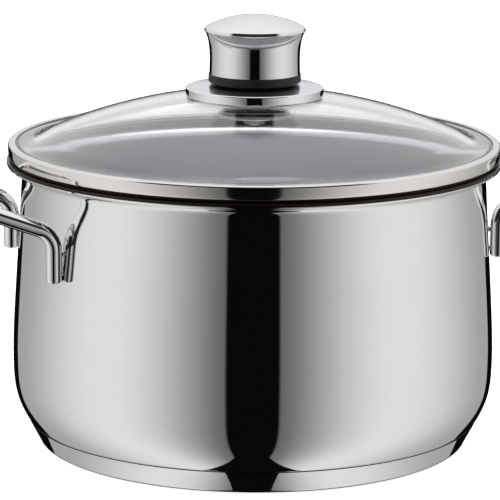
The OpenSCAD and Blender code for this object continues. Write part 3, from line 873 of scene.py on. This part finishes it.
@dataclass
class GlassLid:
    """Tempered glass dome with its folded steel rim band and silicone seal."""

    pot: PotShell
    band_sheet: float = 0.8
    skirt_h: float = 3.5
    band_lap: float = 3.8
    top_ease: float = 1.4
    low_ease: float = 1.2
    glass: float = 4.0
    dome_r: float = 270.0
    rim_w: float = 20.4
    rim_rise: float = 5.3
    hole_r: float = 6.0

    @property
    def skirt_r(self) -> float:
        """Outside radius of the skirt that drops onto the pot's seat."""
        return self.pot.seat_r + self.pot.seat_w

    @property
    def band_r(self) -> float:
        """Outside radius of the band."""
        return self.pot.band.radius

    @property
    def band_z(self) -> float:
        """Underside of the band."""
        return self.pot.seat_z + self.skirt_h

    @property
    def band_top(self) -> float:
        """Top of the band."""
        return self.pot.band.high

    @property
    def edge_r(self) -> float:
        """Radius of the glass's edge."""
        return extent("lid_glass").radius

    @property
    def flange_z(self) -> float:
        """Top of the glass under the band."""
        return self.band_top - self.band_sheet

    @property
    def blend(self) -> Point:
        """Where the dome runs into its flared edge."""
        return self.edge_r - self.rim_w, self.flange_z + self.rim_rise

    @property
    def centre_z(self) -> float:
        """Height of the dome's centre of curvature."""
        return self.blend[1] - math.sqrt(self.dome_r ** 2 - self.blend[0] ** 2)

    def top_z(self, radius: float) -> float:
        """Height of the glass's top face on the dome."""
        return self.centre_z + math.sqrt(self.dome_r ** 2 - radius ** 2)

    def under_z(self, radius: float) -> float:
        """Height of the glass's under face on the dome."""
        return self.centre_z + math.sqrt((self.dome_r - self.glass) ** 2 - radius ** 2)

    def build_glass(self) -> bpy.types.Object:
        """Turns the glass, with a rounded edge."""
        blend_r, blend_z = self.blend
        flat_r = self.edge_r - 5.2
        slope = blend_r / (self.blend[1] - self.centre_z)
        steps = 30
        radii = [self.hole_r + (blend_r - self.hole_r) * i / steps for i in range(steps + 1)]
        flare = bezier((blend_r, blend_z), (blend_r + 7, blend_z - 7 * slope),
                       (flat_r - 6, self.flange_z), (flat_r, self.flange_z), 18)
        top = [*[(r, self.top_z(r)) for r in radii], *flare[1:]]
        under = [*[(r, self.under_z(r)) for r in radii[:-1]],
                 *aside(top, -self.glass)[steps:]]
        bow = self.glass / 2
        edge = arc((self.edge_r - bow, self.flange_z - bow), bow, 80, -80, 10)
        piece = turn("tempered_glass_dome", [
            Run([*top, *edge, *under[::-1]], TEMPERED_GLASS)], sides=256)
        return seated(piece, Body.LID, "lid_glass", "lid_glass")

    def build_band(self) -> bpy.types.Object:
        """Turns the rim band: over the glass, down its side, in and down to the seat."""
        sheet, eases = self.band_sheet, (self.top_ease, self.low_ease)
        upper = (self.band_r - eases[0], self.band_top - eases[0])
        lower = (self.band_r - eases[1], self.band_z + eases[1])
        skirt_in = self.skirt_r - sheet
        lap = self.band_r - self.band_lap
        outline = [*arc((lap + sheet / 2, self.band_top - sheet / 2), sheet / 2, 180, 90, 5),
                   *arc(upper, eases[0], 90, 0, 10),
                   *bezier((self.band_r, self.band_z + 3.6), (self.band_r, self.band_z + 1.6),
                           (self.band_r - 0.35, self.band_z + 0.1),
                           (self.band_r - 1.1, self.band_z), 14)]
        skirt = eased([(self.band_r - 1.1, self.band_z, 0), (self.skirt_r, self.band_z, 0.3),
                       (self.skirt_r, self.pot.seat_z, 0.35), (skirt_in, self.pot.seat_z, 0.35),
                       (skirt_in, self.band_z + sheet, 0.3),
                       (skirt_in + 0.5, self.band_z + sheet, 0)])
        hidden = [*arc(lower, eases[1] - sheet, -90, 0, 6),
                   *arc(upper, eases[0] - sheet, 0, 90, 6),
                   *arc((lap + sheet / 2, self.band_top - sheet / 2), sheet / 2, 270, 180, 5)]
        # The skirt is painted dark brown as shade in the gap under the band.
        piece = turn("folded_rim_band", [Run(outline, BAND_STEEL), Run(skirt, GAP_SHADE_STEEL),
                                         Run(hidden, BAND_STEEL)], sides=256)
        return seated(piece, Body.LID, "band_steel", "lid_rim_band")

    def build_seal(self) -> bpy.types.Object:
        """Turns the seal that cushions the glass's edge in the band."""
        sheet = self.band_sheet
        skirt_in = self.skirt_r - sheet
        foot = skirt_in - 1.8
        low = self.band_z + sheet
        outline = [(self.edge_r, self.flange_z), (self.edge_r, self.flange_z - self.glass),
                   *eased([(foot + 1.5, self.flange_z - self.glass, 0),
                           (foot, self.flange_z - self.glass, 0.5),
                           (foot, low + 0.6, 0.5), (skirt_in, low, 0)]),
                   *arc((self.band_r - self.low_ease, self.band_z + self.low_ease),
                        self.low_ease - sheet, -90, 0, 4),
                   *arc((self.band_r - self.top_ease, self.band_top - self.top_ease),
                        self.top_ease - sheet, 0, 90, 4)]
        piece = turn("silicone_rim_seal", [Run(outline, SEAL_SILICONE)])
        return seated(piece, Body.LID, "seal_silicone", "lid_rim_seal")

    def build(self) -> None:
        """Makes glass, band and seal."""
        self.build_glass()
        self.build_band()
        self.build_seal()


@dataclass
class Knob:
    """Round knob: rosette, black insulating ring, waisted shell and domed cap."""

    rosette: Extent = extent("rosette")
    ring: Extent = extent("knob_insulator")
    shell: Extent = extent("knob_shell")
    cap: Extent = extent("knob_cap")
    bore_r: float = 3.3
    rosette_h: float = 4.6
    rosette_sheet: float = 0.8
    cone_r: float = 21.0
    foot_r: float = 15.0
    foot_h: float = 0.9
    boss_r: float = 9.8
    waist_r: float = 22.8
    shell_sheet: float = 1.2
    cap_edge: float = 1.0
    cap_sheet: float = 1.4
    chamfer_w: float = 0.55
    chamfer_h: float = 0.75
    dome_inset: float = 0.6
    dome_start: float = 1.0

    @property
    def ring_z(self) -> float:
        """Underside of the insulating ring."""
        return self.rosette.high + self.foot_h

    @property
    def shell_h(self) -> float:
        """Height of the shell."""
        return self.shell.high - self.shell.low

    def shell_line(self) -> Path:
        """The shell's waisted outside."""
        return bezier((self.waist_r + 0.45, self.shell.low),
                      (self.waist_r + 0.1, self.shell.low + self.shell_h * 0.34),
                      (self.waist_r - 0.1, self.shell.low + self.shell_h * 0.79),
                      (self.shell.radius, self.shell.high), 36)

    def build_rosette(self) -> bpy.types.Object:
        """Turns the rosette: a low drum with a slightly domed, finely turned top."""
        edge_z = self.rosette.low + self.rosette_h
        flat = self.foot_r + 1
        ease = 0.8
        top = eased([(self.rosette.radius - ease, edge_z, 0), (self.cone_r, self.rosette.high, 0.05),
                     (flat, self.rosette.high, 0)])
        under = aside(top, self.rosette_sheet)
        wall = [(self.rosette.radius, self.rosette.low + 0.15),
                *arc((self.rosette.radius - ease, edge_z - ease), ease, 0, 90, 8)]
        back = [(self.bore_r, self.rosette.high - self.rosette_sheet), *under[1:][::-1],
                (self.rosette.radius - self.rosette_sheet, edge_z - self.rosette_sheet),
                (self.rosette.radius - self.rosette_sheet, self.rosette.low),
                (self.rosette.radius - 0.15, self.rosette.low)]
        piece = turn("turned_rosette", [
            Run(wall, BUFFED_STEEL), Run([*top, (self.bore_r, self.rosette.high)], ROSETTE_STEEL),
            Run(back, PRESSED_STEEL)])
        return seated(piece, Body.LID, "knob_steel", "rosette")

    def build_ring(self) -> bpy.types.Object:
        """Turns the insulating ring with the boss that carries the insert."""
        snap_z = self.shell.low + self.shell_sheet + 0.2
        insert_z, insert_r = self.ring_z + 2.3, 4.5
        top_z = insert_z + 11.5
        outline = eased([
            (self.bore_r, self.rosette.high, 0), (self.foot_r, self.rosette.high, 0.2),
            (self.foot_r, self.ring_z, 0.3), (self.ring.radius - 0.7, self.ring_z, 0.3),
            (self.ring.radius, self.ring_z + 0.7, 0.4), (self.ring.radius, self.shell.low, 0.25),
            (self.boss_r, self.shell.low, 0), (self.boss_r, snap_z, 0),
            (self.boss_r + 1.1, snap_z, 0.2), (self.boss_r + 1.1, snap_z + 0.6, 0.2),
            (self.boss_r - 0.6, snap_z + 2.2, 0), (self.boss_r - 0.6, top_z, 0.3),
            (insert_r, top_z, 0), (insert_r, insert_z, 0), (self.bore_r, insert_z, 0)])
        piece = turn("insulating_ring", [Run(outline, PHENOLIC)])
        return seated(piece, Body.LID, "knob_plastic", "knob_insulator")

    def build_shell(self) -> bpy.types.Object:
        """Turns the waisted shell with its lathe lines."""
        line = self.shell_line()
        wall = aside(line, self.shell_sheet)
        inside = [(r, min(z, self.shell.high)) for r, z in wall[:0:-1]]
        hole = self.boss_r + 0.3
        piece = turn("waisted_knob_shell", [
            Run([(line[0][0] - 0.25, self.shell.low), (line[0][0], self.shell.low + 0.25), *line[1:]],
                LATHE_STEEL),
            Run([*inside, (wall[0][0], self.shell.low + self.shell_sheet),
                 (hole, self.shell.low + self.shell_sheet), (hole, self.shell.low)], PRESSED_STEEL)])
        return seated(piece, Body.LID, "knob_steel", "knob_shell")

    def build_cap(self) -> bpy.types.Object:
        """Turns the polished cap with its spigot."""
        cap_r = self.cap.radius
        low, top = self.shell.high, self.shell.high + self.cap_edge
        rise = self.cap.high - top - self.chamfer_h
        dome_r = ((cap_r - self.dome_inset) ** 2 + rise ** 2) / (2 * rise)
        centre = self.cap.high - dome_r
        start = cap_r - self.dome_start
        dome = [(start * (1 - i / 32), centre + math.sqrt(dome_r ** 2 - (start * (1 - i / 32)) ** 2))
                for i in range(33)]
        inner_r = dome_r - self.cap_sheet
        spigot = aside(self.shell_line(), self.shell_sheet)[30][0] - 0.3
        reach = min(spigot - 1, math.sqrt(inner_r ** 2 - (low - centre) ** 2))
        hollow = [(reach * i / 12, centre + math.sqrt(inner_r ** 2 - (reach * i / 12) ** 2))
                  for i in range(13)]
        rim = eased([(spigot, low, 0), (cap_r, low, 0.25),
                     (cap_r - self.chamfer_w, top + self.chamfer_h, 0.45),
                     dome[0] + (0,)], 6)
        piece = turn("domed_knob_cap", [
            Run([*rim, *dome], BUFFED_STEEL),
            Run([*hollow, (spigot - 1, low - 1.6), (spigot, low - 1.6)], PRESSED_STEEL)])
        return seated(piece, Body.LID, "knob_steel", "knob_cap")

    def build(self) -> None:
        """Makes the knob's shown pieces and dresses what it hides."""
        self.build_rosette()
        self.build_ring()
        self.build_shell()
        self.build_cap()
        dressed("knob_insert", INSERT_BRASS)
        dressed("upper_gasket", GASKET_RUBBER)


@dataclass
class LidFixing:
    """What pulls the knob down from under the glass: gasket, cup, spring washer and screw."""

    lid: GlassLid
    gasket: Extent = extent("lower_gasket")
    cup: Extent = extent("retaining_cup")
    washer: Extent = extent("spring_washer")
    bore_r: float = 3.3
    flange_w: float = 2.8
    sheet: float = 1.2
    washer_bore: float = 3.15

    def build_gasket(self) -> bpy.types.Object:
        """Turns the gasket, shaped to the glass above it, with a collar in the hole."""
        lid, low, reach = self.lid, self.gasket.low, self.gasket.radius
        rows = [(r, lid.under_z(r) - 0.01) for r in
                [reach - (reach - lid.hole_r) * i / 8 for i in range(9)]]
        collar = lid.hole_r - 0.2
        outline = [*eased([(self.bore_r, low, 0), (reach, low, 0.3),
                           (reach, rows[0][1], 0.2), rows[1] + (0,)]), *rows[2:],
                   (collar, rows[-1][1]), (collar, lid.top_z(lid.hole_r) - 0.2),
                   (self.bore_r, lid.top_z(lid.hole_r) - 0.2)]
        piece = turn("lower_gasket_ring", [Run(outline, GASKET_RUBBER)])
        return seated(piece, Body.LID, "gasket_rubber", "lower_gasket")

    def build_cup(self) -> bpy.types.Object:
        """Turns the retaining cup with the bend radii of its pressing."""
        low, high, flange = self.cup.low, self.cup.high, self.cup.radius
        wall = flange - self.flange_w
        inner = wall - self.sheet
        outline = eased([
            (self.bore_r, low, 0), (wall, low, 1.5),
            (wall, high - self.sheet, 0.5), (flange, high - self.sheet, 0.35),
            (flange, high, 0.35), (inner, high, 1.2),
            (inner, low + self.sheet, 0.6), (self.bore_r, low + self.sheet, 0)], 6)
        piece = turn("retaining_cup_pressing", [Run(outline, BUFFED_STEEL)])
        return seated(piece, Body.LID, "cup_steel", "retaining_cup")

    def build_washer(self) -> bpy.types.Object:
        """Bends a split ring with a square section and a small gap."""
        low, top = self.washer.low * MM, self.washer.high * MM
        inner, outer = self.washer_bore, self.washer.radius
        gap = math.radians(8)
        steps = 72
        shape = bmesh.new()
        rows = []
        for k in range(steps + 1):
            t = gap / 2 + (math.tau - gap) * k / steps
            c, s = math.cos(t) * MM, math.sin(t) * MM
            rows.append([shape.verts.new((r * c, r * s, z)) for r, z in (
                (inner, low), (outer, low), (outer, top), (inner, top))])
        for here, there in zip(rows, rows[1:]):
            for j in range(4):
                shape.faces.new([here[j], here[(j + 1) % 4], there[(j + 1) % 4], there[j]])
        shape.faces.new(rows[0][::-1])
        shape.faces.new(rows[-1])
        bmesh.ops.recalc_face_normals(shape, faces=shape.faces)
        mesh = bpy.data.meshes.new("split_washer")
        shape.to_mesh(mesh)
        shape.free()
        mesh.materials.append(SCREW_STEEL.make())
        smooth(mesh)
        piece = new_piece("split_spring_washer", mesh)
        return seated(piece, Body.LID, "screw_steel", "spring_washer")

    def build(self) -> None:
        """Makes the fixing's pieces and dresses the screw."""
        self.build_gasket()
        self.build_cup()
        self.build_washer()
        dressed("knob_screw", SCREW_STEEL)


# ---------------------------------------------------------------- the rack


@dataclass
class JarRack:
    """Welded wire rack that keeps jars off the pot's floor."""

    outer: Extent = extent("rack_outer_ring")
    inner: Extent = extent("rack_inner_ring")
    foot: Extent = extent("rack_feet")
    wire_r: float = 1.8
    foot_r: float = 4.5
    feet: int = 4
    wires: int = 9
    pitch: float = 23.0
    sink: float = 0.4

    @property
    def outer_r(self) -> float:
        """Radius of the outer ring's centre line."""
        return self.outer.radius - self.wire_r

    @property
    def inner_r(self) -> float:
        """Radius of the inner ring's centre line."""
        return self.inner.radius - self.wire_r

    @property
    def ring_z(self) -> float:
        """Height of both rings' centre lines."""
        return self.foot.high - self.sink + self.wire_r

    @property
    def cross_z(self) -> float:
        """Height of the cross wires' centre lines."""
        return self.ring_z + 2 * self.wire_r - self.sink

    def rows(self) -> list[tuple[float, float]]:
        """Place across the rack and half length of each cross wire."""
        middle = (self.wires - 1) / 2
        places = [(i - middle) * self.pitch for i in range(self.wires)]
        return [(y, math.sqrt(self.outer_r ** 2 - y * y)) for y in places]

    def build_wires(self) -> bpy.types.Object:
        """Repeats a straight wire with rounded ends across the rings."""
        profile = [(0.0, -1.0), *[(self.wire_r * math.sin(t), -1 + 0.006 * (1 - math.cos(t)))
                                  for t in (0.5, 0.9, 1.3, math.pi / 2)]]
        profile += [(r, -z) for r, z in profile[::-1]]
        wire = turn("cross_wire", [Run(profile, WIRE_STEEL)], sides=20)
        stretch = Matrix.Diagonal((1 / MM, 1.0, 1.0, 1.0))
        wire.data.transform(stretch @ Matrix.Rotation(math.radians(90), 4, "Y"))
        places = [Vector((0, y, self.cross_z)) * MM for y, _ in self.rows()]
        return repeated("rack_cross_wires_set", wire, places,
                        [half * MM for _, half in self.rows()], WIRE_STEEL, radial=False)

    def build_feet(self) -> bpy.types.Object:
        """Repeats a rounded foot round the inner ring."""
        tall = self.foot.high - self.foot.low
        foot = turn("rack_foot", [Run(eased([
            (0.0, 0.0, 0), (self.foot_r, 0.0, 1.2), (self.foot_r, tall, 0.8), (0.0, tall, 0)]),
            WIRE_STEEL)], sides=28)
        turns = [math.tau / self.feet * (k + 0.5) for k in range(self.feet)]
        places = [Vector((self.inner_r * math.cos(t), self.inner_r * math.sin(t), self.foot.low))
                  * MM for t in turns]
        return repeated("rack_feet_set", foot, places, [1.0] * self.feet, WIRE_STEEL)

    def build_welds(self) -> bpy.types.Object:
        """Repeats a small weld nugget wherever a cross wire meets a ring."""
        nugget = turn("weld_nugget", [Run(
            [(2.1 * math.sin(t), 0.9 * math.cos(t)) for t in
             [math.pi * k / 8 for k in range(9)]], WIRE_STEEL)], sides=12)
        z = (self.ring_z + self.cross_z) / 2
        places = []
        for y, _ in self.rows():
            for ring in (self.outer_r - 2.2, self.inner_r):
                if ring > abs(y) + 2:
                    x = math.sqrt(ring ** 2 - y * y)
                    places += [Vector((x, y, z)) * MM, Vector((-x, y, z)) * MM]
        return repeated("rack_weld_nuggets", nugget, places, [1.0] * len(places), WIRE_STEEL)

    def build(self) -> None:
        """Makes the rings, cross wires, feet and welds."""
        for name, radius in (("rack_outer_ring", self.outer_r), ("rack_inner_ring", self.inner_r)):
            ring = circled(name + "_wire", radius, self.ring_z, self.wire_r, WIRE_STEEL)
            seated(ring, Body.RACK, "rack_steel", name)
        seated(self.build_wires(), Body.RACK, "rack_steel", "rack_cross_wires")
        seated(self.build_feet(), Body.RACK, "rack_steel", "rack_feet")
        seated(self.build_welds(), Body.RACK, "rack_steel")


# ---------------------------------------------------------------- the studio


@dataclass
class Studio:
    """Pale floor, soft surrounding light with a black gap and a black card, and the camera."""

    azimuth: float = -17.7
    elevation: float = 11.95
    distance: float = 1.6
    aim_height: float = 0.0983
    aim_right: float = -0.0018
    roll: float = 0.38
    lens: float = 222.9
    strip_half: float = 12.4
    # The surrounding panel: brightness at the gap's edge, at its brightest and at the back, and
    # the angles from the camera's side, in degrees, where those are reached.
    edge_level: float = 0.14
    bright_level: float = 0.86
    back_level: float = 0.40
    edge_at: float = 12.9
    bright_at: float = 73.0
    back_at: float = 150.0
    rise_power: float = 1.3
    panel_steps: int = 24
    back_from: float = 153.0
    pool_from: float = -0.147
    pool_flare: float = 0.0665
    pool_half: float = 0.215
    pool_near: float = -0.05
    strip_foot: float = 0.14
    gap_to: tuple[float, float] = (0.28, 0.36)
    black: tuple[float, float, float, float] = (0.003, 0.003, 0.003, 1.0)
    card_back: float = 0.35
    card_half: float = 0.315
    card_z: tuple[float, float] = (0.095, 0.145)
    ceiling: tuple[float, float] = (0.66, 0.8)
    back_sky: tuple[float, float, float, float] = (0.80, 0.80, 0.83, 1.0)
    top_sky: tuple[float, float, float, float] = (1.0, 1.0, 1.02, 1.0)
    lamp_at: tuple[float, float, float] = (0.2, -0.4, 2.2)
    lamp_size: float = 2.4
    lamp_power: float = 30.0

    def brightness(self, degrees: float) -> float:
        """Brightness of the surrounding panel, which rises beside the gap and fades to the back.

        Args:
            degrees: Angle from the camera's side.

        Returns:
            The panel's strength at that angle.
        """
        if degrees < self.bright_at:
            share = (degrees - self.edge_at) / (self.bright_at - self.edge_at)
            rise = math.sin(share * math.pi / 2) ** self.rise_power
            return self.edge_level + (self.bright_level - self.edge_level) * rise
        share = min((degrees - self.bright_at) / (self.back_at - self.bright_at), 1.0)
        fall = (1 - math.cos(math.pi * share)) / 2
        return self.bright_level - (self.bright_level - self.back_level) * fall

    def camera(self) -> None:
        """Sets the camera at a long lens, slightly above the lid's level."""
        a, e = math.radians(self.azimuth), math.radians(self.elevation)
        right = Vector((math.cos(a), math.sin(a), 0))
        back = Vector((math.sin(a) * math.cos(e), -math.cos(a) * math.cos(e), math.sin(e)))
        data = bpy.data.cameras.new("camera")
        data.lens, data.sensor_width = self.lens, 36.0
        data.clip_end = 50
        eye = bpy.data.objects.new("camera", data)
        eye.location = right * self.aim_right + Vector((0, 0, self.aim_height)) + back * self.distance
        eye.rotation_mode = "QUATERNION"
        facing = (-back).to_track_quat("-Z", "Y")
        spin = Matrix.Rotation(math.radians(self.roll), 4, "Z").to_quaternion()
        eye.rotation_quaternion = facing @ spin
        bpy.context.scene.collection.objects.link(eye)
        bpy.context.scene.camera = eye

    def floor(self) -> None:
        """Lays a pale, matt floor. It isn't seen in the polished steel."""
        mesh = bpy.data.meshes.new("floor")
        half = 6.0
        mesh.from_pydata([(-half, -half, 0), (half, -half, 0), (half, half, 0), (-half, half, 0)],
                         [], [(0, 1, 2, 3)])
        material = bpy.data.materials.new("pale_floor")
        material.use_nodes = True
        shader = material.node_tree.nodes["Principled BSDF"]
        shader.inputs["Base Color"].default_value = linear("#f4f4f4")
        shader.inputs["Roughness"].default_value = 0.9
        shader.inputs["Specular IOR Level"].default_value = 0.1
        shader.inputs["Emission Color"].default_value = (1, 1, 1, 1)
        shader.inputs["Emission Strength"].default_value = 0.75
        mesh.materials.append(material)
        floor = new_piece("floor", mesh)
        floor.location.z = -0.0005
        floor.visible_glossy = False
        floor.visible_transmission = False

    def light(self) -> None:
        """Hangs one large soft lamp overhead for the floor and the dark parts."""
        data = bpy.data.lights.new("soft_overhead", "AREA")
        data.shape, data.size, data.energy = "DISK", self.lamp_size, self.lamp_power
        lamp = bpy.data.objects.new("soft_overhead", data)
        lamp.location = self.lamp_at
        lamp.visible_glossy = False
        bpy.context.scene.collection.objects.link(lamp)

    def flag(self) -> None:
        """Stands a low black card behind the pot, which only reflections show."""
        a = math.radians(self.azimuth)
        right, away = Vector((math.cos(a), math.sin(a), 0)), Vector((-math.sin(a), math.cos(a), 0))
        corners = [away * self.card_back + right * (self.card_half * side) + Vector((0, 0, z))
                   for side, z in ((-1, self.card_z[0]), (1, self.card_z[0]),
                                   (1, self.card_z[1]), (-1, self.card_z[1]))]
        mesh = bpy.data.meshes.new("black_card")
        mesh.from_pydata(corners, [], [(0, 1, 2, 3)])
        material = bpy.data.materials.new("black_card")
        material.use_nodes = True
        shader = material.node_tree.nodes["Principled BSDF"]
        shader.inputs["Base Color"].default_value = self.black
        shader.inputs["Specular IOR Level"].default_value = 0.0
        mesh.materials.append(material)
        card = new_piece("black_card", mesh)
        card.visible_camera = card.visible_diffuse = card.visible_transmission = False
        card.visible_shadow = False

    def surround(self) -> None:
        """Puts a soft panel all round, with a black gap on the camera's side whose foot flares."""
        world = bpy.data.worlds.new("soft_panels")
        world.use_nodes = True
        bpy.context.scene.world = world
        tree = world.node_tree
        tree.nodes.clear()
        way = add(tree, "ShaderNodeTexCoord").outputs["Object"]
        turned = add(tree, "ShaderNodeVectorRotate", {
            "Vector": way, "Angle": -math.radians(self.azimuth)}, rotation_type="Z_AXIS").outputs[0]
        sides = add(tree, "ShaderNodeSeparateXYZ", {0: turned}).outputs
        rise = sides[2]
        across = add(tree, "ShaderNodeMath", {0: sides[0]}, operation="ABSOLUTE").outputs[0]
        near = add(tree, "ShaderNodeMath", {0: sides[1], 1: -1.0}, operation="MULTIPLY").outputs[0]
        angle = add(tree, "ShaderNodeMath", {0: across, 1: near}, operation="ARCTAN2").outputs[0]
        share = add(tree, "ShaderNodeMath", {0: angle, 1: math.pi}, operation="DIVIDE").outputs[0]
        ramp = add(tree, "ShaderNodeValToRGB", {0: share})
        width = (self.back_from - self.edge_at) / (self.panel_steps - 1)
        angles = [self.edge_at + width * i for i in range(self.panel_steps)]
        dark = self.black[0]
        stops = [(0.0, dark), (self.strip_half, dark), *[(a, self.brightness(a)) for a in angles]]
        band = ramp.color_ramp
        while len(band.elements) < len(stops):
            band.elements.new(0.5)
        for element, (degrees, level) in zip(band.elements, stops):
            element.position = degrees / 180
            element.color = (level, level, level, 1)
        lean = add(tree, "ShaderNodeMath", {0: near, 1: self.pool_from},
                   operation="SUBTRACT").outputs[0]
        flare = add(tree, "ShaderNodeMath", {0: lean, 1: across}, operation="MULTIPLY").outputs[0]
        pool = add(tree, "ShaderNodeMath", {0: flare, 1: self.pool_flare},
                   operation="LESS_THAN").outputs[0]
        slab = add(tree, "ShaderNodeMath", {0: across, 1: self.strip_foot},
                   operation="LESS_THAN").outputs[0]
        spread = add(tree, "ShaderNodeMath", {0: across, 1: self.pool_half},
                     operation="LESS_THAN").outputs[0]
        ahead = add(tree, "ShaderNodeMath", {0: near, 1: self.pool_near},
                    operation="GREATER_THAN").outputs[0]
        lake = add(tree, "ShaderNodeMath", {0: spread, 1: ahead}, operation="MULTIPLY").outputs[0]
        patch = add(tree, "ShaderNodeMath", {0: slab, 1: lake}, operation="MAXIMUM").outputs[0]
        front = add(tree, "ShaderNodeMath", {0: near, 1: -0.1}, operation="GREATER_THAN").outputs[0]
        shore = add(tree, "ShaderNodeMath", {0: patch, 1: front}, operation="MULTIPLY").outputs[0]
        foot = add(tree, "ShaderNodeMath", {0: shore, 1: pool}, operation="MULTIPLY").outputs[0]
        back = add(tree, "ShaderNodeMath", {0: share, 1: self.back_from / 180},
                   operation="GREATER_THAN").outputs[0]
        unlit = add(tree, "ShaderNodeMath", {0: foot, 1: back}, operation="MAXIMUM").outputs[0]
        below = add(tree, "ShaderNodeMath", {0: rise, 1: 0.0}, operation="LESS_THAN").outputs[0]
        black = add(tree, "ShaderNodeMath", {0: unlit, 1: below}, operation="MULTIPLY").outputs[0]
        low = add(tree, "ShaderNodeMix", {0: black, 6: ramp.outputs[0], 7: self.black},
                  data_type="RGBA").outputs[2]
        lifted = add(tree, "ShaderNodeMapRange", {0: rise, 1: self.ceiling[0], 2: self.ceiling[1]},
                     interpolation_type="SMOOTHSTEP").outputs[0]
        gap = add(tree, "ShaderNodeMix", {0: lifted, 6: linear("#2b2724"), 7: self.top_sky},
                  data_type="RGBA").outputs[2]
        height = add(tree, "ShaderNodeMapRange", {0: rise, 1: 0.1, 2: 1.0},
                     interpolation_type="SMOOTHSTEP").outputs[0]
        sky = add(tree, "ShaderNodeMix", {0: height, 6: self.back_sky, 7: self.top_sky},
                  data_type="RGBA").outputs[2]
        aside_by = add(tree, "ShaderNodeMapRange", {0: share, 1: self.gap_to[0], 2: self.gap_to[1]},
                       interpolation_type="SMOOTHSTEP").outputs[0]
        high = add(tree, "ShaderNodeMix", {0: aside_by, 6: gap, 7: sky},
                   data_type="RGBA").outputs[2]
        up = add(tree, "ShaderNodeMapRange", {0: rise, 1: 0.03, 2: 0.09},
                 interpolation_type="SMOOTHSTEP").outputs[0]
        around = add(tree, "ShaderNodeMix", {0: up, 6: low, 7: high}, data_type="RGBA").outputs[2]
        path = add(tree, "ShaderNodeLightPath")
        seen = add(tree, "ShaderNodeMath", {
            0: path.outputs["Is Camera Ray"], 1: path.outputs["Is Transmission Ray"]},
            operation="MAXIMUM").outputs[0]
        shown = add(tree, "ShaderNodeMix", {0: seen, 6: around, 7: (1.02, 1.02, 1.02, 1)},
                    data_type="RGBA").outputs[2]
        light = add(tree, "ShaderNodeBackground", {0: shown, 1: 1.0})
        add(tree, "ShaderNodeOutputWorld", {0: light.outputs[0]})

    def build(self) -> None:
        """Sets up the whole studio with plain display colours."""
        bpy.context.scene.view_settings.view_transform = "Standard"
        self.camera()
        self.floor()
        self.light()
        self.flag()
        self.surround()


def main() -> None:
    """Builds the studio and each sub-assembly in order."""
    logging.basicConfig(level=logging.INFO, format="%(name)s: %(message)s", stream=sys.stdout)
    Studio().build()
    pot = PotShell()
    pot.build()
    CapsuleBase(pot).build()
    for name, side in (("left", -1), ("right", 1)):
        SideHandle(pot, name, side).build()
    lid = GlassLid(pot)
    lid.build()
    Knob().build()
    LidFixing(lid).build()
    JarRack().build()


if __name__ == "__main__":
    main()
